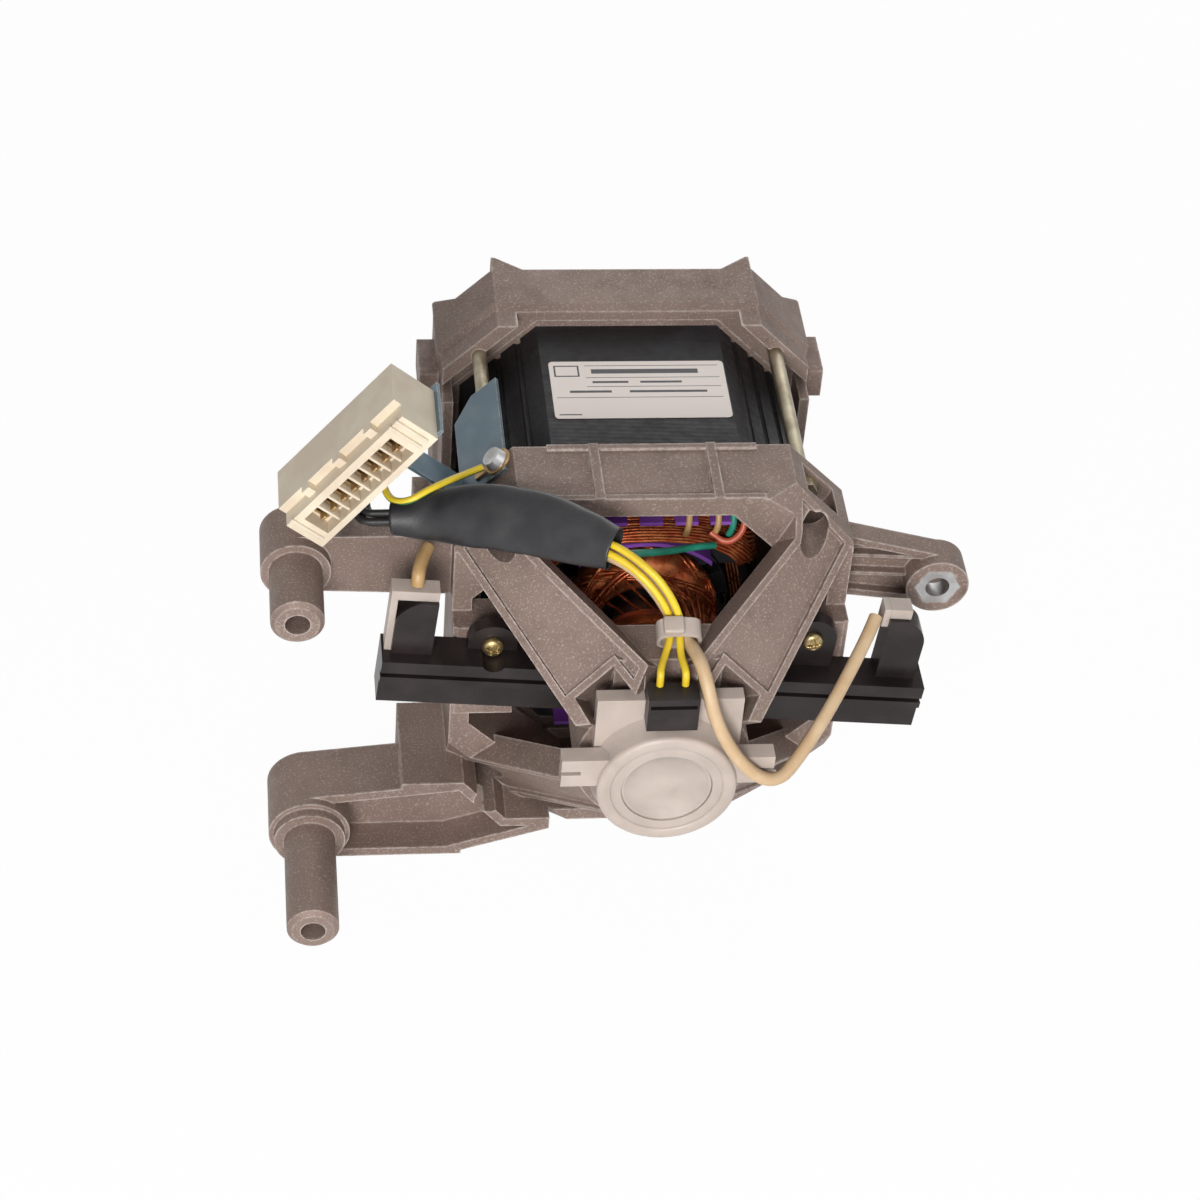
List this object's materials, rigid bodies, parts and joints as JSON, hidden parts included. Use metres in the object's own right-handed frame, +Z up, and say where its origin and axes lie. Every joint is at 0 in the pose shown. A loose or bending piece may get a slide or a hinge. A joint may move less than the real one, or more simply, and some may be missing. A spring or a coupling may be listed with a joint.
{
  "type": "washing machine motor",
  "caption": "Open universal motor: laminated stator between cast end shields, ribbed belt pulley, commutator with sprung carbon brushes, tacho cap, mounting arms and wired connector block.",
  "frame": {"origin": "rotor axis at the middle of the pulley's belt face", "axes": "+Y along the shaft out of the pulley end, -Y to the brush end, +Z up through the label side, +X towards the arm with the nut"},
  "size_m": [0.2323, 0.2301, 0.1761],
  "materials": {
    "cast": "as cast, satin",
    "lamination": "black lacquer",
    "steel": "ground",
    "zinc": "yellow zinc",
    "copper": "enamelled copper",
    "commutator": "turned copper",
    "insulator": "moulded",
    "black_plastic": "moulded",
    "nylon": "moulded nylon",
    "connector": "moulded nylon",
    "label": "plain film",
    "brass": "stamped",
    "carbon": "pressed carbon",
    "sleeve": "shrunk sleeve",
    "yellow": "insulation",
    "green": "insulation",
    "beige": "woven sleeving",
    "tan": "insulation",
    "bracket": "plated sheet",
    "magnet": "sintered"
  },
  "bodies": {
    "frame": {"stator_core": "lamination", "drive_end_shield": "cast", "brush_end_shield": "cast", "through_bolts": "zinc", "rating_label": "label", "mounting_nut": "steel", "drive_bearing_outer_ring": "steel", "brush_bearing_outer_ring": "steel", "brush_holder_left": "black_plastic", "brush_holder_right": "black_plastic", "brush_spring_left": "steel", "brush_spring_right": "steel", "brush_holder_screws": "zinc", "tacho_cap": "nylon", "tacho_coil": "copper", "tacho_plug": "black_plastic", "connector_housing": "connector", "connector_terminals": "brass", "connector_bracket": "bracket", "earth_ring_terminal": "brass", "earth_screw": "zinc", "coil_insulator_upper": "insulator", "coil_insulator_lower": "insulator", "field_coil_upper": "copper", "field_coil_lower": "copper", "cable_sleeve": "sleeve", "yellow_leads": "yellow", "brush_lead_right": "beige", "green_lead": "green", "brush_lead_left": "tan", "harness_leads": "yellow", "earth_wire": "green", "cable_tie": "nylon", "brush_terminal_boot_left": "nylon", "brush_terminal_boot_right": "nylon"},
    "rotor": {"rotor_shaft": "steel", "armature_core": "lamination", "armature_winding": "copper", "commutator": "commutator", "drive_pulley": "steel", "tacho_magnet": "magnet", "drive_bearing_inner_ring": "steel", "brush_bearing_inner_ring": "steel"},
    "drive_bearing_balls": {"drive_bearing_balls": "steel"},
    "brush_bearing_balls": {"brush_bearing_balls": "steel"},
    "brush_left": {"carbon_brush_left": "carbon"},
    "brush_right": {"carbon_brush_right": "carbon"}
  },
  "joints": [
    {"name": "rotor_spin", "type": "hinge", "parent": "frame", "child": "rotor", "pos_m": [0, 0, 0], "axis": [0, 1, 0], "continuous": true},
    {"name": "drive_balls_spin", "type": "hinge", "parent": "frame", "child": "drive_bearing_balls", "pos_m": [0, -0.029, 0], "axis": [0, 1, 0], "continuous": true},
    {"name": "brush_balls_spin", "type": "hinge", "parent": "frame", "child": "brush_bearing_balls", "pos_m": [0, -0.191, 0], "axis": [0, 1, 0], "continuous": true},
    {"name": "brush_left_slide", "type": "slide", "parent": "frame", "child": "brush_left", "axis": [-0.9959, 0, 0.0906], "range_m": [0, 0.006], "stiffness_N_per_m": 200, "springref_m": -0.02, "deforming": ["brush_spring_left"]},
    {"name": "brush_right_slide", "type": "slide", "parent": "frame", "child": "brush_right", "axis": [0.9959, 0, -0.0906], "range_m": [0, 0.006], "stiffness_N_per_m": 200, "springref_m": -0.02, "deforming": ["brush_spring_right"]}
  ],
  "couplings": [
    {"joint": "drive_balls_spin", "follows": "rotor_spin", "ratio": 0.3789},
    {"joint": "brush_balls_spin", "follows": "rotor_spin", "ratio": 0.3636}
  ]
}
